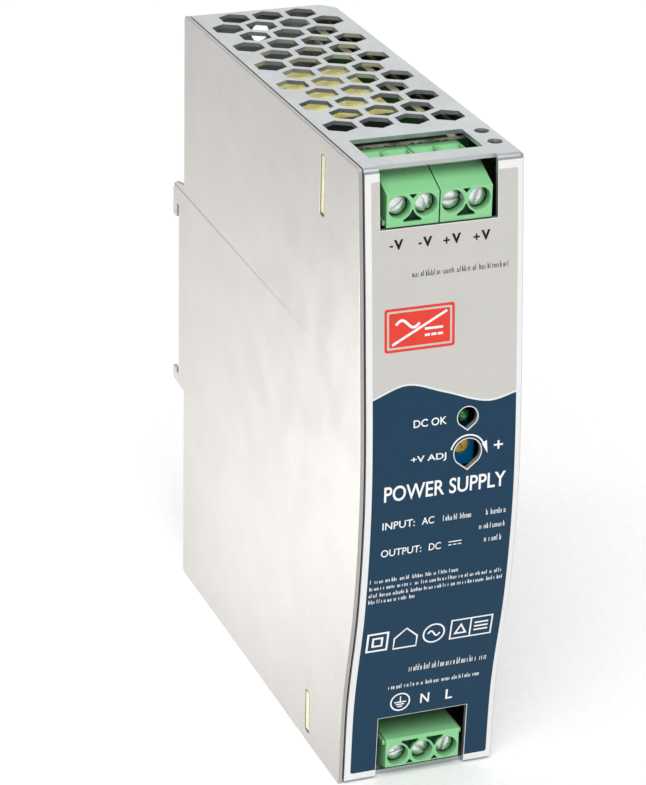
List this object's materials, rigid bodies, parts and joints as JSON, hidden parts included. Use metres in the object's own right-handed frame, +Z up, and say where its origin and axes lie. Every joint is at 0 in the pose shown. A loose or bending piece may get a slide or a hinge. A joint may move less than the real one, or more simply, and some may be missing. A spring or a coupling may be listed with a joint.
{
  "type": "din rail power supply",
  "caption": "Slim folded-steel enclosed power supply that clips on a top hat rail, with screw terminals at its front edge top and bottom and a trimmer behind the front.",
  "frame": {"origin": "middle of the flat rail seat at the back, where the front of a 35 mm top hat rail rests", "axes": "+Z up along the case's height, -Y towards the front label, +X to the right as seen from the front"},
  "size_m": [0.032, 0.1094, 0.1252],
  "materials": {
    "case_sheet": "satin cool grey coated sheet",
    "cover_sheet": "satin warm grey coated sheet",
    "label_film": "printed film, warm grey above and dark blue below, white border",
    "zinc_steel": "zinc plated",
    "spring_steel": "bright spring wire",
    "board": "green solder mask on glass fibre board",
    "terminal_green": "light green moulded polyamide",
    "plated_screw": "bright nickel plate",
    "tinned_copper": "tinned copper alloy",
    "trimmer_blue": "blue moulded body",
    "rotor_brass": "gold coloured rotor",
    "led_green": "tinted clear epoxy",
    "ferrite": "sintered ferrite",
    "yellow_tape": "yellow polyester tape",
    "black_sleeve": "shrunk sleeve",
    "copper_wire": "enamelled copper winding",
    "box_grey": "grey moulded box",
    "ceramic_blue": "blue epoxy dip",
    "epoxy_black": "black moulding compound",
    "heatsink": "mill finish aluminium",
    "fuse_body": "ceramic tube with metal caps",
    "mylar": "thin polyester sheet"
  },
  "bodies": {
    "case": {"chassis": "case_sheet", "side_cover": "cover_sheet", "front_label": "label_film", "rail_bracket": "zinc_steel", "bracket_rivet_1": "zinc_steel", "bracket_rivet_2": "zinc_steel", "board_standoff_1": "zinc_steel", "board_standoff_2": "zinc_steel", "board_standoff_3": "zinc_steel", "latch_spring": "spring_steel", "main_board": "board", "output_terminal_board": "board", "input_terminal_board": "board", "control_board": "board", "output_terminal_left": "terminal_green", "output_terminal_right": "terminal_green", "input_terminal": "terminal_green", "cover_screw_1": "plated_screw", "cover_screw_2": "plated_screw", "contact_bar_output_1": "tinned_copper", "contact_bar_output_2": "tinned_copper", "contact_bar_output_3": "tinned_copper", "contact_bar_output_4": "tinned_copper", "contact_bar_input_1": "tinned_copper", "contact_bar_input_2": "tinned_copper", "contact_bar_input_3": "tinned_copper", "trimmer_body": "trimmer_blue", "status_lamp": "led_green", "transformer_core": "ferrite", "transformer_winding": "yellow_tape", "bulk_capacitor": "black_sleeve", "output_capacitor_1": "black_sleeve", "output_capacitor_2": "black_sleeve", "filter_choke": "copper_wire", "filter_capacitor": "box_grey", "safety_capacitor": "ceramic_blue", "inrush_thermistor": "epoxy_black", "bridge_rectifier": "epoxy_black", "switch_transistor": "epoxy_black", "output_rectifier": "epoxy_black", "switch_heatsink": "heatsink", "output_heatsink": "heatsink", "fuse": "fuse_body", "insulation_sheet": "mylar"},
    "screw_output_1": {"terminal_screw_output_1": "plated_screw"},
    "cage_output_1": {"clamp_cage_output_1": "plated_screw"},
    "screw_output_2": {"terminal_screw_output_2": "plated_screw"},
    "cage_output_2": {"clamp_cage_output_2": "plated_screw"},
    "screw_output_3": {"terminal_screw_output_3": "plated_screw"},
    "cage_output_3": {"clamp_cage_output_3": "plated_screw"},
    "screw_output_4": {"terminal_screw_output_4": "plated_screw"},
    "cage_output_4": {"clamp_cage_output_4": "plated_screw"},
    "screw_input_1": {"terminal_screw_input_1": "plated_screw"},
    "cage_input_1": {"clamp_cage_input_1": "plated_screw"},
    "screw_input_2": {"terminal_screw_input_2": "plated_screw"},
    "cage_input_2": {"clamp_cage_input_2": "plated_screw"},
    "screw_input_3": {"terminal_screw_input_3": "plated_screw"},
    "cage_input_3": {"clamp_cage_input_3": "plated_screw"},
    "rotor": {"trimmer_rotor": "rotor_brass"},
    "latch": {"rail_latch": "zinc_steel"}
  },
  "joints": [
    {"name": "screw_output_1_turn", "type": "hinge", "parent": "case", "child": "screw_output_1", "pos_m": [-0.00836, -0.1017, 0.0528], "axis": [0, 1, 0], "range_deg": [0, 2160]},
    {"name": "cage_output_1_slide", "type": "slide", "parent": "case", "child": "cage_output_1", "axis": [0, -1, 0], "range_m": [0, 0.003]},
    {"name": "screw_output_2_turn", "type": "hinge", "parent": "case", "child": "screw_output_2", "pos_m": [-0.00328, -0.1017, 0.0528], "axis": [0, 1, 0], "range_deg": [0, 2160]},
    {"name": "cage_output_2_slide", "type": "slide", "parent": "case", "child": "cage_output_2", "axis": [0, -1, 0], "range_m": [0, 0.003]},
    {"name": "screw_output_3_turn", "type": "hinge", "parent": "case", "child": "screw_output_3", "pos_m": [0.0019, -0.1017, 0.0528], "axis": [0, 1, 0], "range_deg": [0, 2160]},
    {"name": "cage_output_3_slide", "type": "slide", "parent": "case", "child": "cage_output_3", "axis": [0, -1, 0], "range_m": [0, 0.003]},
    {"name": "screw_output_4_turn", "type": "hinge", "parent": "case", "child": "screw_output_4", "pos_m": [0.00698, -0.1017, 0.0528], "axis": [0, 1, 0], "range_deg": [0, 2160]},
    {"name": "cage_output_4_slide", "type": "slide", "parent": "case", "child": "cage_output_4", "axis": [0, -1, 0], "range_m": [0, 0.003]},
    {"name": "screw_input_1_turn", "type": "hinge", "parent": "case", "child": "screw_input_1", "pos_m": [-0.0042, -0.0993, -0.0603], "axis": [0, 1, 0], "range_deg": [0, 2160]},
    {"name": "cage_input_1_slide", "type": "slide", "parent": "case", "child": "cage_input_1", "axis": [0, -1, 0], "range_m": [0, 0.003]},
    {"name": "screw_input_2_turn", "type": "hinge", "parent": "case", "child": "screw_input_2", "pos_m": [0.00088, -0.0993, -0.0603], "axis": [0, 1, 0], "range_deg": [0, 2160]},
    {"name": "cage_input_2_slide", "type": "slide", "parent": "case", "child": "cage_input_2", "axis": [0, -1, 0], "range_m": [0, 0.003]},
    {"name": "screw_input_3_turn", "type": "hinge", "parent": "case", "child": "screw_input_3", "pos_m": [0.00596, -0.0993, -0.0603], "axis": [0, 1, 0], "range_deg": [0, 2160]},
    {"name": "cage_input_3_slide", "type": "slide", "parent": "case", "child": "cage_input_3", "axis": [0, -1, 0], "range_m": [0, 0.003]},
    {"name": "trimmer_turn", "type": "hinge", "parent": "case", "child": "rotor", "pos_m": [0.005, -0.1019, 0.0051], "axis": [0, 1, 0], "range_deg": [-120, 120]},
    {"name": "latch_pull", "type": "slide", "parent": "case", "child": "latch", "axis": [0, 0, -1], "range_m": [0, 0.004], "stiffness_N_per_m": 800, "springref_m": -0.005, "deforming": ["latch_spring"]}
  ],
  "couplings": [
    {"joint": "screw_output_1_turn", "follows": "cage_output_1_slide", "rad_per_m": 12565},
    {"joint": "screw_output_2_turn", "follows": "cage_output_2_slide", "rad_per_m": 12565},
    {"joint": "screw_output_3_turn", "follows": "cage_output_3_slide", "rad_per_m": 12565},
    {"joint": "screw_output_4_turn", "follows": "cage_output_4_slide", "rad_per_m": 12565},
    {"joint": "screw_input_1_turn", "follows": "cage_input_1_slide", "rad_per_m": 12565},
    {"joint": "screw_input_2_turn", "follows": "cage_input_2_slide", "rad_per_m": 12565},
    {"joint": "screw_input_3_turn", "follows": "cage_input_3_slide", "rad_per_m": 12565}
  ]
}
